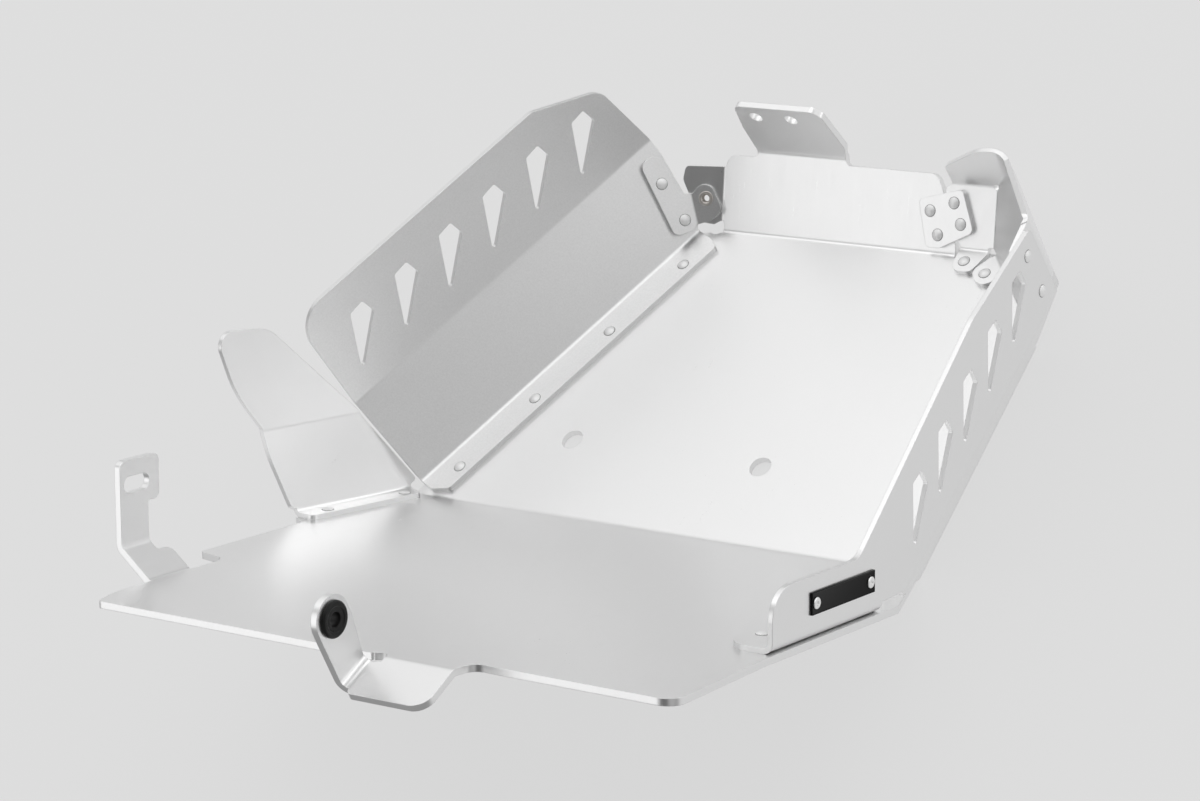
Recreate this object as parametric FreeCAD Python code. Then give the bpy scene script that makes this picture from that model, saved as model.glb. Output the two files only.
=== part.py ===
"""Motorcycle skid plate: a folded and riveted sheet-aluminium guard.

Millimetres, +Z up, +Y to the rear, +X to the right. The origin is on the flat underside of the floor, in the
middle and just behind the front fold. Rows are counted from the front fold, heights from the floor's top face.
"""
import FreeCAD, Part
import math
import os

V = FreeCAD.Vector

# Sheets
base_thickness = 4.0
side_thickness = 3.0
base_bend_radius = 4.0
side_bend_radius = 3.0
mid_bend_radius = 5.0

# Floor panel, from the front fold
fold_row = -3.0
fold_half_left = 177.0
fold_half_right = 175.0
floor_length = 225.5
left_taper = 23.6
drain_diameter = 13.5
drain_row = 55.4
drain_left = -91.1
drain_right = 43.2

# Nose panel, measured along its own top face from the fold
nose_angle = 41.0
nose_length = 304.0
nose_near_edge = 303.0
nose_short_length = 289.0
nose_left_rear = 197.0
nose_left_mid = 186.5
nose_left_front = 166.0
nose_right = 203.0
nose_right_corner = 209.5
wing_step = 94.5
left_step = 188.0

# Rear wall and rear tab
rear_angle = 44.0
rear_wall_left = -69.5
rear_wall_right = 96.5
rear_wall_height = 47.0
rear_fold_height = 51.0
rear_tab_angle = 97.0
rear_tab_height = 47.0
rear_tab_left = -46.0
rear_tab_right = 17.5
rear_hole_diameter = 8.5
rear_hole_spacing = 25.0
rear_hole_centre = -17.1
rear_hole_up = 37.0

# Left rear flap and its bracket
flap_angle = 22.0
flap_width = 26.0
flap_top = 39.5
bracket_thickness = 3.0
bracket_foot_height = 8.79516
nut_along = 13.5734
nut_up = 8.3592

# Slotted mounting tab beside the nose
tab_front = 253.0
tab_width = 33.3
tab_slope = 38.8
tab_slope_length = 25.6
tab_post_height = 48.0
tab_post_width = 22.5
tab_head_width = 32.0
tab_head_height = 25.5
tab_slot_length = 21.0
tab_slot_width = 9.5
tab_slot_along = 13.5
tab_slot_height = 34.0

# Front lip and ear
lip_angle = 29.6
lip_left = 30.5
lip_right = 84.5
lip_length = 29.5
lip_relief = 4.5
ear_centre_along = 13.5
ear_centre_up = 35.8
ear_radius = 13.0
ear_base_start = 4.5
ear_base_end = 26.0

# Left side panel, inner faces
left_lower_angle = 57.2
left_upper_angle = 79.9
left_lower_width = 66.4
left_upper_height = 69.6
left_front_row = 7.3
left_rear_row = 253.0
left_rear_row_bottom = 243.5
left_flange_width = 18.5

# Right side panel, outer faces
right_mid_height = 44.3
right_top_front = 96.4
right_top_kink = 104.0
right_kink_row = 101.0
right_top_rear = 95.5
right_rear_row = 175.0
right_lower_rear_row = 166.0
right_flange_width = 18.5
skirt_height = 34.0
skirt_front = 191.0
skirt_end_radius = 17.0
skirt_fold_rear = 84.0
nose_flange_width = 31.0

# Kite cut-outs
kite_length = 46.4
kite_width = 16.0
kite_shoulder = 7.1
kite_radius = 1.6
left_kite_pitch = 36.0
left_kite_lean = 33.9
left_kite_count = 6
left_kite_first = 47.4
left_kite_up = 49.8
left_last_kite_drop = 2.8
right_kite_lean = 50.2
right_kite_count = 5
right_kite_first = 12.7
right_kite_up = 82.3
right_kite_pitch = 35.0
right_kite_rise = 0.75

# Left front wing, measured on the nose
wing_start = 181.0
wing_toe = 9.8
wing_lower_angle = 67.5
wing_upper_angle = 87.5
wing_lower_width = 51.3
wing_upper_height = 62.0
wing_flange_width = 13.5
wing_rivet_inset = 7.5
wing_rivets_along = (14.0, 75.0)

# Right rear corner panel, inner faces, with heights above the floor
corner_fold_x = 122.5
corner_left = 92.0
corner_apex_up = 42.4
corner_knee_x = 135.8
corner_side_row = 177.0
corner_end_row = 179.7
corner_roll_radius = 15.0
corner_relief = 4.0
corner_left_height = 44.0
corner_peak_height = 61.5
corner_roll_height = 60.5
corner_side_height = 97.0
corner_flange_row = 155.0
corner_flange_bottom = 50.5
corner_tab_length = 17.0

# Rivets and fasteners
rivet_shank = 4.0
rivet_head = 7.6
rivet_dome = 1.4
rivet_seat = 6.0
rivet_seat_depth = 1.4
floor_rivet_pitch = 62.4
floor_rivet_first = 28.9
right_rivet_first = 21.0
floor_rivet_inset = 10.8
badge_length = 61.7
badge_height = 12.1
badge_thickness = 1.2
badge_rear = 93.3
badge_bottom = 13.4
badge_fastener_head = 5.0
badge_fastener_shank = 3.0
badge_fastener_inset = 4.2
nut_bore = 4.2
nut_body = 7.0
nut_collar = 9.0
nut_collar_height = 0.8
grommet_outer = 20.0
grommet_hole = 15.0
grommet_bore = 8.0
grommet_lip = 2.2

X = V(1, 0, 0)
Y = V(0, 1, 0)
Z = V(0, 0, 1)


def unit(v):
    """The direction of v."""
    return V(v).normalize()


def turned(a, b, degrees):
    """The direction at an angle from a towards b."""
    t = math.radians(degrees)
    return a * math.cos(t) + b * math.sin(t)


class Facet:
    """A flat face of a sheet, with an along and an up direction; n points away from along x up."""

    def __init__(self, origin, along, up):
        self.origin = V(origin)
        self.along = unit(along)
        self.up = unit(up)
        self.n = self.along.cross(self.up)

    def at(self, along, up, out=0.0):
        """The point at these distances from the facet's origin."""
        return self.origin + self.along * along + self.up * up + self.n * out


def rounded(points, radii):
    """A closed wire through the points, with an arc at each corner that has a radius."""
    edges = []
    starts = []
    count = len(points)
    for i, corner in enumerate(points):
        before = unit(points[i - 1] - corner)
        after = unit(points[(i + 1) % count] - corner)
        if radii[i] <= 0:
            starts.append((corner, corner, corner))
            continue
        half = before.getAngle(after) / 2
        reach = radii[i] / math.tan(half)
        middle = unit(before + after) * (radii[i] / math.sin(half) - radii[i])
        starts.append((corner + before * reach, corner + middle, corner + after * reach))
    for i, (start, middle, end) in enumerate(starts):
        if radii[i] > 0:
            edges.append(Part.Arc(start, middle, end).toShape())
        following = starts[(i + 1) % count][0]
        if (following - end).Length > 1e-6:
            edges.append(Part.LineSegment(end, following).toShape())
    return Part.Wire(edges)


def outline(facet, corners, out=0.0):
    """The wire of a list of (along, up) or (along, up, radius) corners on a facet."""
    points = [facet.at(c[0], c[1], out) for c in corners]
    radii = [c[2] if len(c) > 2 else 0.0 for c in corners]
    return rounded(points, radii)


def plate(facet, corners, thickness):
    """A flat piece of sheet; a negative thickness lies behind the facet's face."""
    return Part.Face(outline(facet, corners)).extrude(facet.n * thickness)


def punch(facet, corners, reach=12.0):
    """A cutter through a facet, in the shape of the corners."""
    return Part.Face(outline(facet, corners, -reach)).extrude(facet.n * 2 * reach)


def drill(facet, along, up, diameter, reach=12.0):
    """A round cutter through a facet."""
    return Part.makeCylinder(diameter / 2, 2 * reach, facet.at(along, up, -reach), facet.n)


def slot_corners(along, up, length, width):
    """The corners of a round-ended slot."""
    a, b, r = length / 2, width / 2, width / 2 - 0.01
    return [(along - a, up - b, r), (along + a, up - b, r), (along + a, up + b, r), (along - a, up + b, r)]


def setback(angle, radius):
    """How far a bend of this radius starts before the sharp corner."""
    return radius * math.tan(math.radians(angle) / 2)


def bend(start, end, into_a, into_b, side_a, thickness, radius):
    """The curved strip between two facets that meet at the line from start to end.

    into_a and into_b point into the facets, side_a is the side of facet a on which the sheet lies, and
    radius is the inner radius.
    """
    turn = math.degrees(math.pi - into_a.getAngle(into_b))
    outside = side_a.dot(into_b) < 0
    face_radius = radius if outside else radius + thickness
    back = setback(turn, face_radius)
    towards = -1.0 if outside else 1.0
    point_a = start + into_a * back
    point_b = start + into_b * back
    centre = point_a + side_a * (towards * face_radius)
    to_a = unit(point_a - centre)
    to_b = unit(point_b - centre)
    to_middle = unit(to_a + to_b)
    other_radius = face_radius - towards * thickness
    inner = Part.Arc(point_a, centre + to_middle * face_radius, point_b).toShape()
    outer = Part.Arc(centre + to_a * other_radius, centre + to_middle * other_radius,
                     centre + to_b * other_radius).toShape()
    ends = [Part.LineSegment(point_a, centre + to_a * other_radius).toShape(),
            Part.LineSegment(point_b, centre + to_b * other_radius).toShape()]
    wire = Part.Wire(Part.__sortEdges__([inner, ends[1], outer, ends[0]]))
    return Part.Face(wire).extrude(end - start)


def joined(shapes):
    """One clean solid from touching pieces of one sheet."""
    shape = shapes[0].multiFuse(shapes[1:]).removeSplitter()
    return shape.Solids[0] if len(shape.Solids) == 1 else shape


def kite_corners(along, up, lean):
    """A kite cut-out whose top is at (along, up) and whose axis leans by this angle."""
    t = math.radians(lean)
    axis = (math.sin(t), math.cos(t))
    cross = (math.cos(t), -math.sin(t))

    def corner(down, side, radius):
        return (along - axis[0] * down + cross[0] * side, up - axis[1] * down + cross[1] * side, radius)

    half = kite_width / 2
    return [corner(0, 0, kite_radius), corner(kite_shoulder, half, kite_radius),
            corner(kite_length, 0, kite_radius), corner(kite_shoulder, -half, kite_radius)]


def across(facet, line, towards):
    """The direction on a facet that is square to a line and has a part in the direction towards."""
    side = unit(facet.n.cross(line))
    return side if side.dot(towards) > 0 else side * -1


def slab(points, normal, thickness):
    """A flat piece of sheet from (point, radius) pairs."""
    wire = rounded([p[0] for p in points], [p[1] for p in points])
    return Part.Face(wire).extrude(normal * thickness)


def rivet(seat, direction, grip):
    """A domed rivet on a seat: the shank goes down through the grip and is set flush in the last sheet."""
    head = rivet_head / 2
    shank = rivet_shank / 2
    flare = rivet_seat / 2
    profile = [V(0, 0, -grip), V(flare, 0, -grip), V(shank, 0, -grip + rivet_seat_depth), V(shank, 0, 0),
               V(head, 0, 0)]
    edges = [Part.LineSegment(a, b).toShape() for a, b in zip(profile, profile[1:])]
    ball = (head ** 2 + rivet_dome ** 2) / (2 * rivet_dome)
    half = math.asin(head / ball) / 2
    shoulder = V(ball * math.sin(half), 0, rivet_dome - ball + ball * math.cos(half))
    top = V(0, 0, rivet_dome)
    edges.append(Part.Arc(V(head, 0, 0), shoulder, top).toShape())
    edges.append(Part.LineSegment(top, profile[0]).toShape())
    solid = Part.Face(Part.Wire(edges)).revolve(V(0, 0, 0), Z, 360)
    return placed(solid, seat, direction)


def placed(solid, seat, direction):
    """A solid made around the origin, moved to a seat with its +Z along a direction."""
    solid.Placement = FreeCAD.Placement(V(seat), FreeCAD.Rotation(Z, direction))
    return solid


def turned_ring(profile):
    """A solid of revolution about Z from (radius, height) corners."""
    points = [V(r, 0, z) for r, z in profile]
    return Part.Face(Part.makePolygon(points + points[:1])).revolve(V(0, 0, 0), Z, 360)


def without(sheet, cutters):
    """A sheet with all the cutters taken out."""
    return sheet.cut(Part.makeCompound(cutters)).removeSplitter()


# Shared faces
floor = Facet(V(0, fold_row, base_thickness), X, Y)
nose_up = turned(Y * -1, Z, nose_angle)
nose = Facet(floor.origin, X * -1, nose_up)
rear_up = turned(Y, Z, rear_angle)
rear_wall = Facet(floor.at(0, floor_length), X, rear_up)
rear_tab = Facet(rear_wall.at(0, rear_fold_height), X, turned(Y, Z, rear_tab_angle))
flap = Facet(rear_wall.at(rear_wall_left, 0), turned(X * -1, rear_wall.n, flap_angle), rear_up)
tab_slope_face = Facet(nose.at(nose_left_front, 0), nose_up, turned(X * -1, nose.n, tab_slope))
tab_post = Facet(tab_slope_face.at(0, tab_slope_length), nose_up, nose.n)
lip = Facet(nose.at(0, nose_length), X * -1, turned(nose_up, nose.n * -1, lip_angle))
ear = Facet(lip.at(-lip_left, 0), lip.up, lip.n)

left_row = turned(Y, X, left_taper)
left_out = turned(X * -1, Y, left_taper)
left_corner = floor.at(-fold_half_left, 0)
left_lower = Facet(left_corner, left_row, turned(left_out, Z, left_lower_angle))
left_upper = Facet(left_lower.at(0, left_lower_width), left_row, turned(left_out, Z, left_upper_angle))
left_flange = Facet(left_corner + Z * side_thickness, left_row, left_out * -1)
left_fold_up = side_thickness / math.sin(math.radians(left_lower_angle))

right_foot = fold_half_right + 2.0
right_run = V(nose_right - right_foot, 0, right_mid_height)
right_lower = Facet(floor.at(right_foot, 0), Y, right_run)
right_lower_angle = math.degrees(math.atan2(right_run.z, right_run.x))
right_wall = Facet(floor.at(nose_right, 0), Y, Z)
right_flange = Facet(floor.at(right_foot, 0), Y, X * -1)
skirt = Facet(floor.at(nose_right, 0), nose_up, nose.n)
nose_flange = Facet(floor.at(nose_right, 0), nose_up, X * -1)

wing_along = turned(nose_up, X * -1, wing_toe)
wing_out = turned(X * -1, nose_up * -1, wing_toe)
wing_corner = nose.at(wing_start, -2.0, side_thickness)
wing_lower = Facet(wing_corner, wing_along, turned(wing_out, nose.n, wing_lower_angle))
wing_upper = Facet(wing_lower.at(0, wing_lower_width), wing_along, turned(wing_out, nose.n, wing_upper_angle))
wing_flange = Facet(wing_corner, wing_along, wing_out * -1)

corner_foot = rear_wall.at(corner_fold_x, side_thickness / math.sin(math.radians(rear_angle)))
corner_apex = rear_wall.at(corner_fold_x, corner_apex_up)
corner_side = floor.at(nose_right, corner_side_row, right_mid_height)
slant_out = unit((corner_apex - corner_foot).cross(corner_side - corner_foot))
slant_row = unit(slant_out.cross(Z))
slant = Facet(corner_foot, slant_row, slant_row.cross(slant_out))
corner_back = Facet(V(0, corner_apex.y, base_thickness), X, Z)
corner_knee = corner_back.at(corner_knee_x, 0)
corner_end = floor.at(nose_right - 2 * side_thickness, corner_end_row)
diagonal = Facet(corner_knee, corner_end - corner_knee, Z)
side_face = Facet(corner_end, Y * -1, Z)


def floor_piece():
    """The flat floor with its drain holes and its corner relief."""
    front = setback(nose_angle, base_bend_radius)
    rear = floor_length - setback(rear_angle, base_bend_radius)
    rear_edge = floor_length + 3.5
    taper = math.tan(math.radians(left_taper))
    left_end = floor_length - 3.0
    corners = [
        (-fold_half_left, front), (fold_half_right, front), (fold_half_right, 168.0, 2.0),
        (corner_fold_x, rear_edge, 2.0), (rear_wall_right + 1.5, rear_edge), (rear_wall_right + 1.5, rear),
        (rear_wall_left + 1.5, rear), (-fold_half_left + left_end * taper, left_end, 1.0),
    ]
    piece = plate(floor, corners, -base_thickness)
    holes = [drill(floor, x, drain_row, drain_diameter) for x in (drain_left, drain_right)]
    holes.append(drill(floor, rear_wall_left - 3.5, floor_length + 0.5, 8.0))
    return without(piece, holes)


def nose_piece():
    """The long nose panel, cut in at the left for the slotted tab and at the front for the lip."""
    fold = setback(nose_angle, base_bend_radius)
    lip_edge = nose_length - setback(lip_angle, base_bend_radius + base_thickness)
    tab_edge = nose_left_front - setback(tab_slope, base_bend_radius)
    mid_row = right_mid_height / math.sin(math.radians(nose_angle))
    corners = [
        (-fold_half_right, fold), (fold_half_left, fold), (nose_left_rear, wing_step - 2.5, 5.0),
        (nose_left_mid, wing_step + 2.5, 3.0), (nose_left_mid + 1.0, left_step - 2.0, 3.0),
        (nose_left_front + 3.0, left_step + 2.0, 4.0), (tab_edge, left_step + 8.5, 3.0),
        (tab_edge, tab_front + 1.0), (nose_left_front - 2.0, nose_length - 19.0, 30.0),
        (nose_left_front - 7.0, nose_near_edge, 4.0), (-lip_left, nose_near_edge), (-lip_left, lip_edge),
        (-lip_right, lip_edge), (-lip_right - 1.5, nose_short_length, 7.0),
        (-nose_right_corner, nose_short_length, 10.0), (-nose_right - 0.5, 200.0, 60.0),
        (-nose_right - 0.5, mid_row, 8.0),
    ]
    return plate(nose, corners, -base_thickness)


def slotted_tab():
    """The mounting tab beside the nose: a sloping part, an upright with a wider head, and its slot."""
    t = base_thickness
    r = base_bend_radius
    slope_back = setback(tab_slope, r)
    post_back = setback(90.0 - tab_slope, r)
    rear = tab_front - tab_width
    post_rear = tab_front - tab_post_width
    head_bottom = tab_post_height - tab_head_height
    slope = plate(tab_slope_face, [
        (rear, slope_back), (tab_front, slope_back), (tab_front, tab_slope_length - post_back),
        (post_rear, tab_slope_length - post_back), (post_rear, 18.0, 2.0), (rear, 18.0, 5.0)], t)
    post = plate(tab_post, [
        (tab_front, post_back), (tab_front, tab_post_height, 5.0),
        (tab_front - tab_head_width, tab_post_height, 4.0), (tab_front - tab_head_width, head_bottom, 4.0),
        (post_rear, head_bottom, 1.5), (post_rear, post_back)], t)
    slot = punch(tab_post, slot_corners(tab_front - tab_slot_along, tab_slot_height, tab_slot_length,
                                        tab_slot_width))
    lower_bend = bend(tab_slope_face.at(rear, 0), tab_slope_face.at(tab_front, 0), X, tab_slope_face.up,
                      nose.n * -1, t, r)
    upper_bend = bend(tab_post.at(post_rear, 0), tab_post.at(tab_front, 0), tab_slope_face.up * -1, nose.n,
                      tab_slope_face.n, t, r)
    return [slope, without(post, [slot]), lower_bend, upper_bend]


def lip_and_ear():
    """The lip folded down from the nose and the ear that stands up from its left edge."""
    t = base_thickness
    r = base_bend_radius
    lip_back = setback(lip_angle, r + t)
    ear_back = setback(90.0, r)
    inner = lip_left + 2 * lip_relief + 1.0
    lip_plate = plate(lip, [
        (-inner, lip_back), (-inner, ear_base_start), (-lip_left - ear_back, ear_base_start),
        (-lip_left - ear_back, lip_length, 3.0), (-lip_right, lip_length, 10.0), (-lip_right, lip_back)], -t)
    lip_bend = bend(lip.at(-lip_right, 0), lip.at(-inner, 0), nose_up * -1, lip.up, nose.n * -1, t, r)
    waist = ear_centre_up - 7.0
    crown = ear_centre_up + ear_radius
    rear = ear_centre_along - ear_radius
    front = ear_centre_along + ear_radius
    ear_plate = plate(ear, [
        (ear_base_start, ear_back), (rear, waist, 8.0), (rear, crown, ear_radius - 0.01),
        (front, crown, ear_radius - 0.01), (front, waist, 8.0), (ear_base_end, ear_back)], t)
    ear_bend = bend(ear.at(ear_base_start, 0), ear.at(ear_base_end, 0), X, lip.n, lip.n * -1, t, r)
    hole = drill(ear, ear_centre_along, ear_centre_up, grommet_hole)
    return [lip_plate, lip_bend, without(ear_plate, [hole]), ear_bend]


def rear_wall_and_tab():
    """The rear wall, the tab with two holes that stands on it, and the flap at its left end."""
    t = base_thickness
    r = base_bend_radius
    foot = setback(rear_angle, r)
    tab_back = setback(rear_tab_angle - rear_angle, r)
    flap_back = setback(flap_angle, r)
    left = rear_wall_left + 1.5
    flap_foot = 6.0
    rear_bend = bend(rear_wall.at(left, 0), rear_wall.at(rear_wall_right, 0), Y * -1, rear_up, Z * -1, t, r)
    wall = plate(rear_wall, [
        (left, foot), (rear_wall_right, foot), (rear_wall_right, 5.0, 2.0), (rear_wall_right - 11.5, 39.5, 6.0),
        (rear_wall_right - 15.5, rear_wall_height, 7.0), (rear_tab_right + 2.0, rear_wall_height, 2.0),
        (rear_tab_right, rear_fold_height - tab_back), (rear_tab_left, rear_fold_height - tab_back),
        (rear_tab_left - 2.0, rear_wall_height, 2.0), (rear_wall_left + 3.5, rear_wall_height, 7.0),
        (rear_wall_left + flap_back, flap_top), (rear_wall_left + flap_back, flap_foot), (left, 4.0, 1.0)], -t)
    tab_bend = bend(rear_tab.at(rear_tab_left, 0), rear_tab.at(rear_tab_right, 0), rear_up * -1, rear_tab.up,
                    rear_wall.n * -1, t, r)
    tab = plate(rear_tab, [
        (rear_tab_left, tab_back), (rear_tab_right, tab_back), (rear_tab_right + 4.0, 10.0, 14.0),
        (rear_tab_right + 1.5, rear_tab_height - 5.0, 4.0), (rear_tab_right - 3.5, rear_tab_height, 4.0),
        (rear_tab_left + 5.0, rear_tab_height, 5.0), (rear_tab_left + 1.0, 25.0, 40.0)], -t)
    half = rear_hole_spacing / 2
    holes = [drill(rear_tab, rear_hole_centre + side * half, rear_hole_up, rear_hole_diameter)
             for side in (-1, 1)]
    flap_plate = plate(flap, [
        (flap_back, flap_foot), (5.0, 3.5, 2.0), (13.5, 4.5, 4.0), (flap_width, 30.0, 6.0),
        (flap_width - 1.5, flap_top - 0.8, 3.0), (flap_back, flap_top)], t)
    flap_bend = bend(flap.at(0, flap_foot), flap.at(0, flap_top), X, flap.along, rear_wall.n * -1, t, r)
    return [rear_bend, wall, tab_bend, without(tab, holes), flap_plate, flap_bend]


def make_base_plate():
    """The base sheet with its folds, tabs, lip and ear."""
    front_bend = bend(floor.at(-fold_half_left, 0), floor.at(fold_half_right, 0), Y, nose_up, Z * -1,
                      base_thickness, base_bend_radius)
    sheet = joined([floor_piece(), front_bend, nose_piece()] + slotted_tab() + lip_and_ear()
                   + rear_wall_and_tab())
    relief = drill(nose, -lip_left - 1.0 - lip_relief, nose_length, 2 * lip_relief, 8.0)
    return without(sheet, [relief])


def make_left_side_panel():
    """Flange, lower facet and upper facet of the left side, with the row of kites."""
    t = side_thickness
    fold_back = setback(left_lower_angle, side_bend_radius)
    mid_back = setback(left_upper_angle - left_lower_angle, mid_bend_radius)
    fold_shift = -t / math.tan(math.radians(left_lower_angle))
    low = left_fold_up + fold_back
    high = left_lower_width - mid_back
    front = left_front_row
    flange = plate(left_flange, [
        (front, fold_shift + fold_back), (front, 8.5, 2.0), (front + 7.0, left_flange_width, 3.0),
        (left_rear_row_bottom - 6.0, left_flange_width, 3.0), (left_rear_row_bottom - 3.0, 10.0, 2.0),
        (left_rear_row_bottom - 3.0, fold_shift + fold_back)], t)
    flange_bend = bend(left_lower.at(front, left_fold_up), left_lower.at(left_rear_row_bottom - 3.0, left_fold_up),
                       left_out * -1, left_lower.up, Z * -1, t, side_bend_radius)
    lower = plate(left_lower, [
        (front, low), (left_rear_row_bottom - 3.0, low), (left_rear_row_bottom, low + 3.0, 2.0),
        (left_rear_row - 5.0, 28.0, 20.0), (left_rear_row, 57.0, 8.0), (left_rear_row, high), (front, high)], -t)
    mid_bend = bend(left_upper.at(front, 0), left_upper.at(left_rear_row, 0), left_lower.up * -1, left_upper.up,
                    left_lower.n * -1, t, mid_bend_radius)
    upper = plate(left_upper, [
        (front, mid_back), (left_rear_row, mid_back), (left_rear_row - 9.9, left_upper_height - 20.2, 13.0),
        (left_rear_row - 53.2, left_upper_height, 12.0),
        (front, left_upper_height, 21.0)], -t)
    kites = []
    for i in range(left_kite_count):
        drop = left_last_kite_drop if i == left_kite_count - 1 else 0.0
        kites.append(punch(left_upper, kite_corners(left_kite_first + i * left_kite_pitch, left_kite_up - drop,
                                                    left_kite_lean)))
    return joined([flange, flange_bend, lower, mid_bend, without(upper, kites)])


def on_right_wall(along, up):
    """A point given along and up from the nose, as a corner of the right wall."""
    point = skirt.at(along, up) - right_wall.origin
    return (point.y, point.z)


def make_right_side_panel():
    """Floor flange, lower facet, upper wall with kites and front skirt of the right side."""
    t = side_thickness
    r = side_bend_radius
    fold_back = setback(right_lower_angle, r + t)
    mid_back = setback(90.0 - right_lower_angle, mid_bend_radius + t)
    skirt_back = setback(90.0, r + t)
    width = right_run.Length
    rear = right_lower_rear_row - 5.0
    flange = plate(right_flange, [
        (8.0, fold_back), (8.0, 9.0, 2.0), (14.0, right_flange_width, 3.0), (rear - 9.0, right_flange_width, 3.0),
        (rear, 9.0, 2.0), (rear, fold_back)], t)
    flange_bend = bend(right_flange.at(8.0, 0), right_flange.at(rear, 0), X * -1, right_lower.up, Z, t, r)
    front_top = -43.0
    lower = plate(right_lower, [
        (8.0, fold_back), (rear, fold_back), (right_lower_rear_row + 1.5, fold_back + 3.0, 2.0),
        (right_rear_row - 1.5, width - mid_back), (front_top, width - mid_back), (0.0, fold_back + 1.5, 2.0)], -t)
    mid_bend = bend(right_wall.at(front_top, right_mid_height), right_wall.at(right_rear_row - 1.5,
                    right_mid_height), right_lower.up * -1, Z, right_lower.n * -1, t, mid_bend_radius)
    wall_foot = right_mid_height + mid_back
    wall = plate(right_wall, [
        (front_top, wall_foot), (right_rear_row - 1.5, wall_foot), (right_rear_row, right_top_rear, 4.0),
        (right_kink_row, right_top_kink, 30.0), (-59.1, right_top_front, 15.0),
        on_right_wall(skirt_front, skirt_height) + (skirt_end_radius,), on_right_wall(skirt_front, skirt_back),
        on_right_wall(skirt_fold_rear, skirt_back), on_right_wall(skirt_fold_rear - 5.0, 6.0) + (2.0,)], -t)
    skirt_bend = bend(skirt.at(skirt_fold_rear, 0), skirt.at(skirt_front, 0), X * -1, nose.n, nose.n, t, r)
    foot = plate(nose_flange, [
        (skirt_fold_rear, skirt_back), (skirt_front, skirt_back), (skirt_front, nose_flange_width, 15.0),
        (skirt_fold_rear, nose_flange_width, 3.0)], -t)
    kites = [punch(right_wall, kite_corners(right_kite_first + i * right_kite_pitch,
                                            right_kite_up + i * right_kite_rise, right_kite_lean))
             for i in range(right_kite_count)]
    return joined([flange, flange_bend, lower, mid_bend, without(wall, kites), skirt_bend, foot])


def make_left_front_wing():
    """The forward part of the left side, with its flange on the nose."""
    t = side_thickness
    fold_back = setback(wing_lower_angle, side_bend_radius)
    mid_back = setback(wing_upper_angle - wing_lower_angle, mid_bend_radius)
    high = wing_lower_width - mid_back
    flange = plate(wing_flange, [
        (2.0, fold_back), (92.0, fold_back), (92.0, wing_flange_width, 4.0), (6.0, wing_flange_width, 4.0)], -t)
    flange_bend = bend(wing_flange.at(2.0, 0), wing_flange.at(92.0, 0), wing_out * -1, wing_lower.up,
                       nose.n * -1, t, side_bend_radius)
    lower = plate(wing_lower, [
        (2.0, fold_back), (92.0, fold_back), (95.5, 4.0, 2.0), (101.0, 35.0, 60.0), (101.0, high),
        (25.5, high), (-4.0, 5.0, 2.0)], t)
    mid_bend = bend(wing_upper.at(25.5, 0), wing_upper.at(101.0, 0), wing_lower.up * -1, wing_upper.up,
                    wing_lower.n, t, mid_bend_radius)
    upper = plate(wing_upper, [
        (25.5, mid_back), (101.0, mid_back), (119.3, 24.2, 80.0), (133.0, wing_upper_height + 0.6, 9.0),
        (93.0, wing_upper_height - 1.7, 22.0)], t)
    return joined([flange, flange_bend, lower, mid_bend, upper])


def cup(grow):
    """The space inside the rear corner with every fold rounded, moved out by a distance."""
    faces = {
        "floor": (floor.at(0, 0, side_thickness), Z * -1),
        "shelf": (rear_wall.origin, rear_wall.n * -1),
        "back": (corner_back.origin, Y),
        "slant": (corner_foot, slant_out),
        "diagonal": (corner_knee, diagonal.n * -1),
        "side": (corner_end, X),
    }
    size = 2 * floor_length
    start = V(corner_left - 30.0 - grow, floor_length / 2 - grow, 0)
    shape = Part.makeBox(size, size, size, start)
    for point, out in faces.values():
        block = Part.makeBox(2 * size, 2 * size, size, V(-size, -size, -size))
        shape = shape.common(placed(block, point + out * grow, out))

    def touched(edge):
        middle = edge.valueAt((edge.FirstParameter + edge.LastParameter) / 2)
        if min(middle.x - start.x, middle.y - start.y, size - middle.z) < 1e-4:
            return set()
        return {name for name, (point, out) in faces.items() if abs((middle - point).dot(out) - grow) < 1e-4}

    roll = [edge for edge in shape.Edges if touched(edge) == {"back", "diagonal"}]
    shape = shape.makeFillet(corner_roll_radius + grow, roll)
    folds = [edge for edge in shape.Edges if len(touched(edge)) == 2 or touched(edge) == {"slant"}]
    return shape.makeFillet(side_bend_radius + grow, folds)


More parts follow.
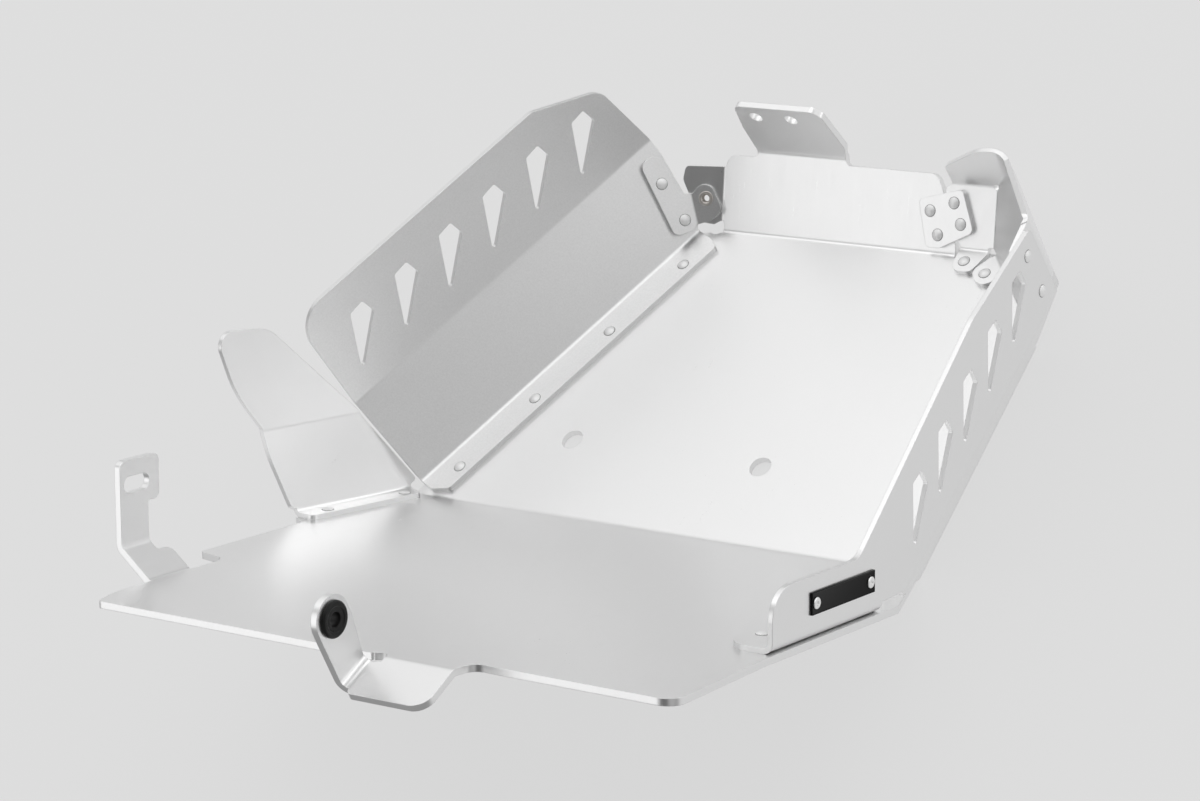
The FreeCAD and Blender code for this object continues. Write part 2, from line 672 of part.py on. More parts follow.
def make_rear_corner_panel():
    """The folded panel that closes the right rear corner, trimmed face by face from the rounded cup."""
    foot = Facet(rear_wall.at(0, side_thickness / math.sin(math.radians(rear_angle))), X, Y * -1)
    slant_foot = Facet(corner_foot, slant_row, slant_row.cross(Z))
    reach = corner_tab_length
    span = (corner_end - corner_knee).Length
    fold = corner_fold_x
    left = corner_left
    apex = corner_apex_up
    bottom = corner_flange_bottom
    top = corner_side_height
    roll = corner_roll_height
    flange = corner_end_row - corner_flange_row
    trims = [
        punch(rear_wall, [(fold - 23.0, 6.0), (fold - 3.5, 6.0), (fold + 3.5, 7.0), (fold + 5.5, apex + 3.6),
                          (left, apex + 3.6), (left, apex), (left - 5.0, apex - 3.5, 3.0)], 8.0),
        punch(foot, [(fold - 23.0, -5.0), (fold - 3.5, -5.0), (fold - 3.7, 3.0, 0.5), (fold - 9.1, reach, 5.0),
                     (fold - 23.0, reach, 7.0)]),
        punch(slant, [(-4.0, 1.5), (24.0, 1.0), (span - 20.8117, 1.0, 2.0), (span - 13.8117, apex + 1.6),
                      (span - 13.8117, roll), (-30.0, roll), (-30.0, 30.0)], 8.0),
        punch(slant_foot, [(3.0, -5.0), (22.0, -5.0), (22.0, reach, 7.5), (7.0, reach, 6.0), (3.2, 4.0, 0.5)]),
        punch(corner_back, [(left, 27.0), (corner_knee_x + 2.2, 27.0), (corner_knee_x + 2.2, roll),
                            (fold - 1.0, corner_peak_height, 30.0), (left, corner_left_height, 4.0)]),
        punch(diagonal, [(-5.0, 30.0), (span - 12.0, 30.0), (span - 6.0, bottom), (span + 3.0, bottom),
                         (span + 3.0, top), (span, top), (7.0, roll), (-5.0, roll)]),
        punch(side_face, [(-4.0, bottom), (flange, bottom, 4.0), (flange, top - 2.0, 4.0), (-4.0, top)]),
    ]
    shell = cup(side_thickness).cut(cup(0.0))
    panel = shell.common(trims[0].multiFuse(trims[1:])).removeSplitter()
    relief = Part.makeCylinder(corner_relief / 2, 24.0, corner_apex, unit(Y + slant_out - rear_wall.n))
    relief.translate(unit(Y + slant_out - rear_wall.n) * -12.0)
    return without(panel, [relief])


def make_corner_joint_plate():
    """The plate over the joint of rear wall and corner panel."""
    return plate(rear_wall, [
        (corner_left - 21.0, 31.5, 3.0), (corner_left + 8.6, 39.5, 3.0), (corner_left + 17.6, 14.6, 4.0),
        (corner_left - 5.0, 3.4, 4.0), (corner_left - 14.2, 3.4, 3.0)], side_thickness)


def bracket_faces():
    """The exposed faces of the two bracket legs, both starting on their common fold line."""
    a = left_lower
    b = flap
    point_a = a.at(0, 0, bracket_thickness)
    point_b = b.at(0, 0, -bracket_thickness)
    line = unit(a.n.cross(b.n))
    line = line if line.z > 0 else line * -1
    away = across(a, line, left_row * -1)
    reach = (point_b - point_a).dot(b.n) / away.dot(b.n)
    foot = point_a + away * reach
    foot = foot + line * ((floor.origin.z + bracket_foot_height - foot.z) / line.z)
    return Facet(foot, line, away), Facet(foot, line, across(b, line, X))


def make_left_rear_bracket():
    """The angle bracket between the left panel and the rear flap."""
    t = bracket_thickness
    on_panel, on_flap = bracket_faces()
    back = setback(180.0 - math.degrees(on_panel.up.getAngle(on_flap.up)), side_bend_radius)
    panel_side = t if on_panel.n.dot(left_lower.n) < 0 else -t
    flap_side = t if on_flap.n.dot(flap.n) > 0 else -t
    panel_leg = plate(on_panel, [
        (-1.0, back), (-4.2, 4.0, 1.5), (-5.6, 15.8, 5.0), (42.3, 28.2, 6.0), (48.5, 15.0, 7.0), (20.0, 7.5, 3.0),
        (18.5, back)], panel_side)
    flap_leg = plate(on_flap, [
        (-1.0, back), (-0.4, 8.0, 5.0), (3.8, 17.0, 5.0), (21.2, 13.2, 6.0), (22.8, 6.0, 6.0), (18.5, back)], flap_side)
    fold = bend(on_panel.at(-1.0, 0), on_panel.at(18.5, 0), on_panel.up, on_flap.up,
                left_lower.n * -1, t, side_bend_radius)
    return joined([panel_leg, flap_leg, fold])


def make_rivet_nut():
    """The threaded insert that holds bracket and flap together."""
    grip = bracket_thickness + base_thickness
    ring = turned_ring([(nut_bore / 2, -grip), (nut_body / 2, -grip), (nut_body / 2, 0), (nut_collar / 2, 0),
                        (nut_collar / 2, nut_collar_height), (nut_bore / 2, nut_collar_height)])
    return placed(ring, bracket_faces()[1].at(nut_along, nut_up), flap.n * -1)


def make_ear_grommet():
    """The rubber grommet in the ear, with a lip on both sides."""
    t = base_thickness
    lip_r = grommet_outer / 2
    groove = grommet_hole / 2
    bore = grommet_bore / 2
    ring = turned_ring([
        (bore, -grommet_lip), (lip_r - 1.0, -grommet_lip), (lip_r, -grommet_lip + 0.8), (lip_r, 0), (groove, 0),
        (groove, t), (lip_r, t), (lip_r, t + grommet_lip - 0.8), (lip_r - 1.0, t + grommet_lip),
        (bore, t + grommet_lip)])
    return placed(ring, ear.at(ear_centre_along, ear_centre_up), ear.n)


def make_badge_plate():
    """The plain badge on the right skirt."""
    rear = badge_rear
    front = badge_rear + badge_length
    top = badge_bottom + badge_height
    return plate(skirt, [(rear, badge_bottom, 1.0), (front, badge_bottom, 1.0), (front, top, 1.0),
                         (rear, top, 1.0)], -badge_thickness)


def make_badge_fasteners():
    """The two round fasteners of the badge, through badge and skirt."""
    middle = badge_bottom + badge_height / 2
    head = badge_fastener_head / 2
    shank = badge_fastener_shank / 2
    grip = badge_thickness + side_thickness
    pieces = []
    for along in (badge_rear + badge_fastener_inset, badge_rear + badge_length - badge_fastener_inset):
        pin = turned_ring([(0, -grip), (shank, -grip), (shank, 0), (head, 0), (head - 0.4, 0.8), (0, 0.8)])
        pieces.append(placed(pin, skirt.at(along, middle, -badge_thickness), X))
    return pieces


def rivet_groups():
    """All rivets by group: each entry is a list of separate rivets."""
    both = base_thickness + side_thickness
    pair = 2 * side_thickness
    left = [rivet(left_flange.at(floor_rivet_first + i * floor_rivet_pitch, floor_rivet_inset), Z, both)
            for i in range(4)]
    right = [rivet(right_flange.at(right_rivet_first + i * floor_rivet_pitch, floor_rivet_inset, side_thickness),
                   Z, both) for i in range(3)]
    wing = [rivet(wing_flange.at(along, wing_rivet_inset), nose.n, both) for along in wing_rivets_along]
    skirt_rivets = [rivet(nose_flange.at(along, 22.0, -side_thickness), nose.n, both)
                    for along in (103.0, 135.0, 167.0)]
    leg = bracket_faces()[0]
    bracket = [rivet(leg.at(along, up), left_lower.n, bracket_thickness + side_thickness)
               for along, up in ((28.1991, 17.1865), (3.4024, 7.5779))]
    joint = [rivet(rear_wall.at(corner_left + x, w, side_thickness), rear_wall.n, grip)
             for x, w, grip in ((-12.6, 25.1, both), (-6.6, 11.2, both), (3.4, 31.0, pair), (8.6, 18.7, pair))]
    floor_tabs = [rivet(corner_foot + V(x, y, 0), Z, both) for x, y in ((-16.1, -9.2066), (1.1, -16.6066))]
    rear = [rivet(right_wall.at(corner_flange_row + y, corner_side_height - drop), X, pair)
            for y, drop in ((8.2, 11.9), (6.7, 39.7))]
    return {"left_floor_rivets": left, "right_floor_rivets": right, "left_wing_rivets": wing,
            "right_nose_rivets": skirt_rivets, "bracket_rivets": bracket, "corner_plate_rivets": joint,
            "corner_floor_rivets": floor_tabs, "right_rear_rivets": rear}


def main():
    """Build every piece, cut the fastener holes and write one file for each node."""
    os.makedirs("parts", exist_ok=True)
    fasteners = rivet_groups()
    fasteners["badge_fasteners"] = make_badge_fasteners()
    nut = make_rivet_nut()
    nut_hole = drill(bracket_faces()[1], nut_along, nut_up, nut_body)
    sheets = {
        "base_plate": make_base_plate(),
        "left_side_panel": make_left_side_panel(),
        "left_front_wing": make_left_front_wing(),
        "right_side_panel": make_right_side_panel(),
        "rear_corner_panel": make_rear_corner_panel(),
        "corner_joint_plate": make_corner_joint_plate(),
        "left_rear_bracket": make_left_rear_bracket(),
        "badge_plate": make_badge_plate(),
    }
    shanks = [pin for group in fasteners.values() for pin in group]
    nodes = {}
    for name, sheet in sheets.items():
        cutters = [pin for pin in shanks if pin.BoundBox.intersect(sheet.BoundBox)]
        if name in ("base_plate", "left_rear_bracket"):
            cutters = cutters + [nut_hole]
        nodes[name] = without(sheet, cutters).Solids[0] if cutters else sheet
    nodes["bracket_rivet_nut"] = nut
    nodes["ear_grommet"] = make_ear_grommet()
    for name, group in fasteners.items():
        nodes[name] = Part.makeCompound(group)
    for name, shape in nodes.items():
        shape.exportStep("parts/%s.step" % name)
        print(name, len(shape.Solids), shape.isValid(), round(shape.Volume), shape.BoundBox)


main()
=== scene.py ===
import logging
import math
from dataclasses import dataclass
from enum import Enum
from typing import Optional, Union

import bpy
from mathutils import Matrix, Vector


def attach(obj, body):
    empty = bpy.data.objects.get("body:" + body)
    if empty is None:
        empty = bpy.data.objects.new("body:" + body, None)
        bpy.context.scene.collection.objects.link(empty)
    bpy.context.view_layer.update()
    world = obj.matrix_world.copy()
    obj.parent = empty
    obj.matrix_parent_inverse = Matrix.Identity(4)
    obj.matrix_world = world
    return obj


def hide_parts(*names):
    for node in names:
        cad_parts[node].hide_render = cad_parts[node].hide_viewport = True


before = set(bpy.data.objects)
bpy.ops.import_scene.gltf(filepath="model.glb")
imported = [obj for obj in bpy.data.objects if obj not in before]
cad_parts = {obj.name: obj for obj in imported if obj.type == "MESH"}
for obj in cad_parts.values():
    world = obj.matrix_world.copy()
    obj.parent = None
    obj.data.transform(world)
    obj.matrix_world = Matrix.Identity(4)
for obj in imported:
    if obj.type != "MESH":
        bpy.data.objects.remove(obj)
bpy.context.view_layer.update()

LOG = logging.getLogger("skid_plate")

# Directions: to the guard's right and left, up along its folded nose, and out of the nose's inner face
RIGHT = Vector((1.0, 0.0, 0.0))
LEFT = Vector((-1.0, 0.0, 0.0))
NOSE_ANGLE = math.radians(41.0)
NOSE_UP = Vector((0.0, -math.cos(NOSE_ANGLE), math.sin(NOSE_ANGLE)))
NOSE_OUT = Vector((0.0, math.sin(NOSE_ANGLE), math.cos(NOSE_ANGLE)))

# Modelling: sizes of pieces are in millimetres and places in metres
MM = 0.001
MERGE_DISTANCE = 0.002 * MM
SMOOTH_ANGLE = math.radians(30.0)
BEVEL_ANGLE = math.radians(35.0)
BEVEL_STEPS = 2
FACING = 0.9

# Finishes
BRIGHTEST = 0.97
EDGE_SAMPLES = 4
EDGE_GAIN = 4.0
EDGE_RADIUS = 0.9 * MM

Names = tuple[str, ...]
Triple = tuple[float, float, float]
Colour = tuple[float, float, float, float]
Profile = list[tuple[float, float]]
Stops = tuple[tuple[float, float], ...]
Amount = Union["Wire", float]


class Grain(Enum):
    """The way a sheet was rolled: how far its grain is turned about Z, in degrees."""

    LENGTHWISE = 0.0
    LEFT_SIDE = 23.6
    CORNER = 40.0


class Wire:
    """A node socket that takes part in Python arithmetic."""

    def __init__(self, graph: "Graph", socket: bpy.types.NodeSocket) -> None:
        """Keep the socket and the graph it belongs to."""
        self.graph = graph
        self.socket = socket

    def _math(self, operation: str, first: Amount, second: Amount) -> "Wire":
        """Add a Math node.

        Args:
            operation: The Math node's operation.
            first: The first value or wire.
            second: The second value or wire.

        Returns:
            The wire that carries the result.
        """
        return self.graph.node("ShaderNodeMath", {"operation": operation}, {0: first, 1: second})

    def __add__(self, other: Amount) -> "Wire":
        """Return self + other."""
        return self._math("ADD", self, other)

    def __radd__(self, other: float) -> "Wire":
        """Return other + self."""
        return self._math("ADD", other, self)

    def __sub__(self, other: Amount) -> "Wire":
        """Return self - other."""
        return self._math("SUBTRACT", self, other)

    def __rsub__(self, other: float) -> "Wire":
        """Return other - self."""
        return self._math("SUBTRACT", other, self)

    def __mul__(self, other: Amount) -> "Wire":
        """Return self * other."""
        return self._math("MULTIPLY", self, other)

    def __rmul__(self, other: float) -> "Wire":
        """Return other * self."""
        return self._math("MULTIPLY", other, self)

    def clamped(self, low: float = 0.0, high: float = 1.0) -> "Wire":
        """Return the wire kept between low and high."""
        return self.graph.node("ShaderNodeClamp", {}, {"Value": self, "Min": low, "Max": high})


class Graph:
    """The node tree of one material or of the world, with short ways to add to it."""

    def __init__(self, owner: Union[bpy.types.Material, bpy.types.World]) -> None:
        """Empty the owner's node tree.

        Args:
            owner: The material or world that the tree belongs to.
        """
        owner.use_nodes = True
        self.owner = owner
        self.tree = owner.node_tree
        self.tree.nodes.clear()

    @classmethod
    def of_material(cls, name: str) -> "Graph":
        """Return the graph of a new material of this name."""
        return cls(bpy.data.materials.new(name))

    def node(self, kind: str, settings: Optional[dict] = None, sockets: Optional[dict] = None,
             output: Union[int, str] = 0) -> Wire:
        """Add one node.

        Args:
            kind: The node's type name.
            settings: Attributes set first; "stops" holds a ramp's pairs of position and tone.
            sockets: Values or wires by socket name or index.
            output: Which output to return.

        Returns:
            The wire of that output.
        """
        made = self.tree.nodes.new(kind)
        for key, value in (settings or {}).items():
            if key == "stops":
                self.set_stops(made.color_ramp, value)
            else:
                setattr(made, key, value)
        for key, value in (sockets or {}).items():
            if isinstance(value, Wire):
                self.tree.links.new(value.socket, made.inputs[key])
            else:
                made.inputs[key].default_value = value
        return Wire(self, made.outputs[output])

    @staticmethod
    def set_stops(ramp: bpy.types.ColorRamp, stops: Stops) -> None:
        """Give a colour ramp its stops.

        Args:
            ramp: The ramp of a new node, which has two stops.
            stops: Two or more pairs of position and tone.
        """
        while len(ramp.elements) < len(stops):
            ramp.elements.new(0.5)
        for element, (position, tone) in zip(ramp.elements, stops):
            element.position = position
            element.color = (tone, tone, tone, 1.0)

    def position(self, turn: float = 0.0, stretch: Triple = (1.0, 1.0, 1.0)) -> Wire:
        """Read Object coordinates, turned about Z and then stretched.

        Args:
            turn: The angle about Z, in degrees.
            stretch: The factor along each axis.

        Returns:
            The coordinates.
        """
        place = self.node("ShaderNodeTexCoord", output="Object")
        turned = self.node("ShaderNodeVectorRotate", {"rotation_type": "Z_AXIS"},
                           {"Vector": place, "Angle": math.radians(turn)})
        return self.node("ShaderNodeVectorMath", {"operation": "MULTIPLY"}, {0: turned, 1: stretch})

    def noise(self, vector: Wire, scale: float, detail: float = 2.0, roughness: float = 0.5) -> Wire:
        """Return a grey noise on the given coordinates."""
        return self.node("ShaderNodeTexNoise", {}, {
            "Vector": vector, "Scale": scale, "Detail": detail, "Roughness": roughness})

    def blend(self, factor: Wire, first: Union[Colour, Wire], second: Colour) -> Wire:
        """Return a colour between two colours by a factor."""
        return self.node("ShaderNodeMix", {"data_type": "RGBA"}, {0: factor, 6: first, 7: second}, 2)

    def rounded(self, radius: float) -> Wire:
        """Return normals that are rounded over this radius at sharp edges."""
        return self.node("ShaderNodeBevel", {"samples": EDGE_SAMPLES}, {"Radius": radius})

    def edge_mask(self) -> Wire:
        """Compare the rounded and the true normals.

        Returns:
            1 near sharp edges and 0 on flats.
        """
        true = self.node("ShaderNodeNewGeometry", output="True Normal")
        match = self.node("ShaderNodeVectorMath", {"operation": "DOT_PRODUCT"},
                          {0: self.rounded(EDGE_RADIUS), 1: true}, "Value")
        return ((1.0 - match) * EDGE_GAIN).clamped()

    def bump(self, strength: float, distance: float, height: Wire, over: Optional[Wire] = None) -> Wire:
        """Add a bump.

        Args:
            strength: How much of the bump is used.
            distance: The height of a full step, in metres.
            height: The relief, from 0 to 1.
            over: The normals that it lies over; the surface's own if left out.

        Returns:
            The normals.
        """
        sockets = {"Strength": strength, "Distance": distance, "Height": height}
        if over is not None:
            sockets["Normal"] = over
        return self.node("ShaderNodeBump", {}, sockets)

    def principled(self, colour: Wire, roughness: Wire, normal: Wire, fixed: dict) -> bpy.types.Material:
        """Close the graph with one Principled shader.

        Args:
            colour: The base colour.
            roughness: The roughness.
            normal: The normals.
            fixed: The sockets that have one value all over, by name.

        Returns:
            The finished material.
        """
        varying = {"Base Color": colour, "Roughness": roughness, "Normal": normal}
        return self.finish(self.node("ShaderNodeBsdfPrincipled", {}, varying | fixed))

    def finish(self, shader: Wire, kind: str = "ShaderNodeOutputMaterial") -> bpy.types.ID:
        """Link a shader to a new output node.

        Args:
            shader: The shader.
            kind: The output node's type name.

        Returns:
            The material or world that the graph belongs to.
        """
        output = self.tree.nodes.new(kind)
        self.tree.links.new(shader.socket, output.inputs["Surface"])
        return self.owner


def grey(value: float, warm: float = 0.0) -> Colour:
    """Return a grey no brighter than BRIGHTEST, and a little warmer for a positive warm."""
    tone = min(value, BRIGHTEST)
    return (tone + warm, tone, tone - warm, 1.0)


@dataclass(frozen=True)
class RolledAluminium:
    """Mill-finished sheet: fine rolling lines, a speckle, faint handling marks and a painted highlight along
    sharp edges.

    Scales are in features per metre, and a stretch multiplies them along each axis. A field that ends in
    _tone says how far its feature moves the colour between the darker and the lighter grey, one that ends
    in _rough what it adds to the roughness, and one that ends in _relief its share of the bump.
    """

    name: str = "rolled_aluminium"
    grain: Grain = Grain.LENGTHWISE
    shade: float = 0.90
    roughness: float = 0.30
    line_depth: float = 0.10
    speckle_tone: float = 0.05
    metallic: float = 1.0
    darker: float = 0.14
    lighter: float = 0.09
    middle: float = 0.45
    line_scale: float = 1.0
    line_stretch: Triple = (900.0, 14.0, 60.0)
    line_rough: float = 0.10
    line_relief: float = 0.6
    speckle_scale: float = 900.0
    speckle_rough: float = 0.06
    speckle_relief: float = 0.5
    cloud_scale: float = 9.0
    cloud_tone: float = 0.05
    cloud_rough: float = 0.05
    mark_scale: float = 0.8
    mark_stretch: Triple = (60.0, 22.0, 60.0)
    mark_stops: Stops = ((0.0, 0.0), (0.62, 0.0), (0.72, 1.0))
    mark_tone: float = 0.015
    mark_rough: float = 0.05
    edge_highlight_tone: float = 0.10
    edge_rough: float = 0.10
    mean_rough: float = 0.10
    least_rough: float = 0.12
    most_rough: float = 0.8
    bump_height: float = 0.2 * MM
    soft_edge: float = 0.6 * MM

    def build(self) -> bpy.types.Material:
        """Make the material.

        Returns:
            The material.
        """
        g = Graph.of_material(self.name)
        turn = self.grain.value
        even = g.position(turn)
        lines = g.noise(g.position(turn, self.line_stretch), self.line_scale, detail=3.0, roughness=0.6)
        speckle = g.noise(even, self.speckle_scale, detail=3.0, roughness=0.65)
        cloud = g.noise(even, self.cloud_scale, detail=3.0, roughness=0.55)
        scuffs = g.noise(g.position(turn, self.mark_stretch), self.mark_scale, detail=5.0, roughness=0.7)
        marks = g.node("ShaderNodeValToRGB", {"stops": self.mark_stops}, {"Fac": scuffs})
        edge = g.edge_mask()
        # painted highlight: the tone is lighter near sharp edges
        tone = ((speckle - 0.5) * (2.0 * self.speckle_tone) + cloud * self.cloud_tone
                - marks * self.mark_tone + edge * self.edge_highlight_tone + self.middle)
        colour = g.blend(tone.clamped(), grey(self.shade - self.darker), grey(self.shade + self.lighter))
        rough = (lines * self.line_rough + speckle * self.speckle_rough + cloud * self.cloud_rough
                 + marks * self.mark_rough + edge * self.edge_rough + (self.roughness - self.mean_rough))
        relief = lines * self.line_relief + speckle * self.speckle_relief
        normal = g.bump(self.line_depth, self.bump_height, relief, g.rounded(self.soft_edge))
        return g.principled(colour, rough.clamped(self.least_rough, self.most_rough), normal,
                            {"Metallic": self.metallic})


@dataclass(frozen=True)
class TurnedMetal:
    """Rivet head, screw or insert: bright metal with fine turning marks and a painted rim tone at sharp
    edges: painted shade on rivet heads, a painted highlight on screws and the insert.

    The tone lies between two greys, spread apart about the shade: fine_share and broad_share are the
    parts that the two noises have in it, and least_tone is where it starts.
    """

    name: str
    shade: float
    roughness: float
    # rim: the tone painted at sharp edges, dark as painted shade on rivets and pale as a painted highlight on
    # screws and the insert
    rim: float
    warm: float = 0.0
    spread: float = 0.08
    fine_scale: float = 1400.0
    fine_share: float = 0.3
    fine_rough: float = 0.14
    broad_scale: float = 160.0
    broad_share: float = 0.3
    broad_rough: float = 0.06
    least_tone: float = 0.2
    mark_depth: float = 0.12
    bump_height: float = 0.1 * MM
    soft_edge: float = 0.4 * MM

    def build(self) -> bpy.types.Material:
        """Make the material.

        Returns:
            The material.
        """
        g = Graph.of_material(self.name)
        at = g.position()
        fine = g.noise(at, self.fine_scale, detail=3.0, roughness=0.6)
        broad = g.noise(at, self.broad_scale)
        tone = fine * self.fine_share + broad * self.broad_share + self.least_tone
        face = g.blend(tone.clamped(), grey(self.shade - self.spread, self.warm),
                       grey(self.shade + self.spread, self.warm))
        # painted rim: shade on rivet heads, highlight on screws and the insert
        colour = g.blend(g.edge_mask(), face, grey(self.rim, self.warm))
        rough = fine * self.fine_rough + broad * self.broad_rough + self.roughness
        normal = g.bump(self.mark_depth, self.bump_height, fine, g.rounded(self.soft_edge))
        return g.principled(colour, rough, normal, {"Metallic": 1.0})


@dataclass(frozen=True)
class BlackRubber:
    """Moulded black rubber with a fine pebble and dust in its hollows."""

    name: str = "black_rubber"
    clean: float = 0.005
    dusty: float = 0.016
    smoothest: float = 0.28
    gloss: float = 0.22
    pebble_scale: float = 1800.0
    pebble_depth: float = 0.25
    bump_height: float = 0.1 * MM
    dust_scale: float = 120.0
    dust_gain: float = 1.4
    dust_start: float = 0.4
    dust_rough: float = 0.20

    def build(self) -> bpy.types.Material:
        """Make the material.

        Returns:
            The material.
        """
        g = Graph.of_material(self.name)
        at = g.position()
        pebble = g.noise(at, self.pebble_scale)
        dust = g.noise(at, self.dust_scale, detail=4.0, roughness=0.6)
        cover = (dust * self.dust_gain - self.dust_start).clamped()
        colour = g.blend(cover, grey(self.clean), grey(self.dusty))
        rough = dust * self.dust_rough + self.smoothest
        normal = g.bump(self.pebble_depth, self.bump_height, pebble)
        return g.principled(colour, rough, normal, {"Specular IOR Level": self.gloss})


@dataclass(frozen=True)
class BlackEnamel:
    """The badge's black face: glossy enamel with a slight waviness and fine dust."""

    name: str = "black_enamel"
    clean: float = 0.002
    dusty: float = 0.009
    smoothest: float = 0.28
    gloss: float = 0.12
    wave_scale: float = 150.0
    wave_depth: float = 0.08
    bump_height: float = 0.2 * MM
    dust_scale: float = 1500.0
    dust_gain: float = 1.2
    dust_start: float = 0.4
    dust_rough: float = 0.15

    def build(self) -> bpy.types.Material:
        """Make the material.

        Returns:
            The material.
        """
        g = Graph.of_material(self.name)
        at = g.position()
        wave = g.noise(at, self.wave_scale)
        dust = g.noise(at, self.dust_scale, detail=4.0, roughness=0.7)
        cover = (dust * self.dust_gain - self.dust_start).clamped()
        colour = g.blend(cover, grey(self.clean), grey(self.dusty))
        rough = dust * self.dust_rough + self.smoothest
        normal = g.bump(self.wave_depth, self.bump_height, wave)
        return g.principled(colour, rough, normal, {"Specular IOR Level": self.gloss})


@dataclass(frozen=True)
class StudioFloor:
    """The plain pale floor, which keeps a faint shadow. Reflections see it darker in front of the guard.

    front_start is how far in front of the origin that darker part begins, in metres, and front_slope how
    fast it sets in. shadow_share is what the lamps' own light has in the tone that the camera sees.
    """

    name: str = "studio_floor"
    seen: float = 0.748
    cloud_scale: float = 3.0
    drift: float = 0.004
    front_grey: float = 0.26
    front_start: float = 0.22
    front_slope: float = 9.0
    shadow_share: float = 0.16

    def build(self) -> bpy.types.Material:
        """Make the material.

        Returns:
            The material.
        """
        g = Graph.of_material(self.name)
        cloud = g.noise(g.position(), self.cloud_scale)
        matt = g.node("ShaderNodeBsdfDiffuse", {}, {
            "Color": g.blend(cloud, grey(self.seen - self.drift), grey(self.seen + self.drift))})
        mirrored = g.node("ShaderNodeLightPath", output="Is Glossy Ray")
        depth = g.node("ShaderNodeSeparateXYZ", {}, {"Vector": g.position()}, "Y")
        front = ((depth * -1.0 - self.front_start) * self.front_slope).clamped()
        tone = g.blend(mirrored * front, grey(self.seen), grey(self.front_grey))
        glow = g.node("ShaderNodeEmission", {}, {"Color": tone, "Strength": 1.0})
        looked_at = g.node("ShaderNodeLightPath", output="Is Camera Ray") + mirrored
        share = (looked_at * (1.0 - self.shadow_share)).clamped()
        return g.finish(g.node("ShaderNodeMixShader", {}, {0: share, 1: matt, 2: glow}))


class Bench:
    """Modelling steps shared by the pieces."""

    @staticmethod
    def clear() -> None:
        """Leave edit mode and deselect everything."""
        if bpy.context.object and bpy.context.object.mode != "OBJECT":
            bpy.ops.object.mode_set(mode="OBJECT")
        bpy.ops.object.select_all(action="DESELECT")

    @staticmethod
    def pick(piece: bpy.types.Object) -> None:
        """Select one piece alone, and make it active.

        Args:
            piece: The piece.
        """
        Bench.clear()
        piece.select_set(True)
        bpy.context.view_layer.objects.active = piece

    @staticmethod
    def turned(name: str, profile: Profile, sides: int, closed: bool) -> bpy.types.Object:
        """Turn a profile by extruding and resizing one ring of edges.

        Args:
            name: The piece's name.
            profile: (radius, height) in millimetres, from the first ring to the last.
            sides: How many sides the ring has.
            closed: True for a ring whose last circle joins the first, False for a piece with end caps.

        Returns:
            The object, still around the origin.
        """
        Bench.clear()
        radius, height = profile[0]
        bpy.ops.mesh.primitive_circle_add(vertices=sides, radius=radius * MM, location=(0, 0, height * MM),
                                          fill_type="NOTHING" if closed else "NGON")
        made = bpy.context.object
        made.name = name
        bpy.ops.object.transform_apply(location=True, rotation=True, scale=True)
        bpy.ops.object.mode_set(mode="EDIT")
        bpy.ops.mesh.select_mode(type="VERT")
        bpy.ops.mesh.select_all(action="SELECT")
        for (before, low), (after, high) in zip(profile, profile[1:]):
            bpy.ops.mesh.extrude_region_move(TRANSFORM_OT_translate={"value": (0, 0, (high - low) * MM)})
            share = after / before
            bpy.ops.transform.resize(value=(share, share, 1.0), center_override=(0, 0, high * MM))
        bpy.ops.mesh.select_all(action="SELECT")
        bpy.ops.mesh.remove_doubles(threshold=MERGE_DISTANCE)
        bpy.ops.mesh.normals_make_consistent(inside=False)
        bpy.ops.object.mode_set(mode="OBJECT")
        return made

    @staticmethod
    def bevel(piece: bpy.types.Object, width: float) -> None:
        """Round a piece's sharp edges and smooth it.

        Args:
            piece: The piece, still around the origin.
            width: The width of the bevel, in millimetres.
        """
        Bench.pick(piece)
        rounding = piece.modifiers.new("edges", "BEVEL")
        rounding.width = width * MM
        rounding.segments = BEVEL_STEPS
        rounding.limit_method = "ANGLE"
        rounding.angle_limit = BEVEL_ANGLE
        bpy.ops.object.modifier_apply(modifier=rounding.name)
        bpy.ops.object.shade_smooth_by_angle(angle=SMOOTH_ANGLE)

    @staticmethod
    def settle(piece: bpy.types.Object, turn: Matrix, seat: Vector) -> None:
        """Put a piece made around the origin in its place, and apply that place to its mesh.

        Args:
            piece: The piece.
            turn: Its rotation.
            seat: Where its origin comes to lie, in metres.
        """
        Bench.pick(piece)
        piece.matrix_world = Matrix.Translation(seat) @ turn.to_4x4()
        bpy.ops.object.transform_apply(location=True, rotation=True, scale=True)

    @staticmethod
    def stand(piece: bpy.types.Object, seat: Vector, direction: Vector) -> None:
        """Settle a piece with its Z along a direction."""
        Bench.settle(piece, direction.to_track_quat("Z", "Y").to_matrix(), seat)

    @staticmethod
    def hand_over(piece: bpy.types.Object, material: bpy.types.Material, slot: str) -> None:
        """Dress a finished piece and let it ride on the guard.

        Args:
            piece: The piece, in its place.
            material: Its finish.
            slot: The record's material slot; not used.
        """
        piece.data.materials.clear()
        piece.data.materials.append(material)
        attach(piece, "root")
        LOG.info("made %s, %d faces", piece.name, len(piece.data.polygons))


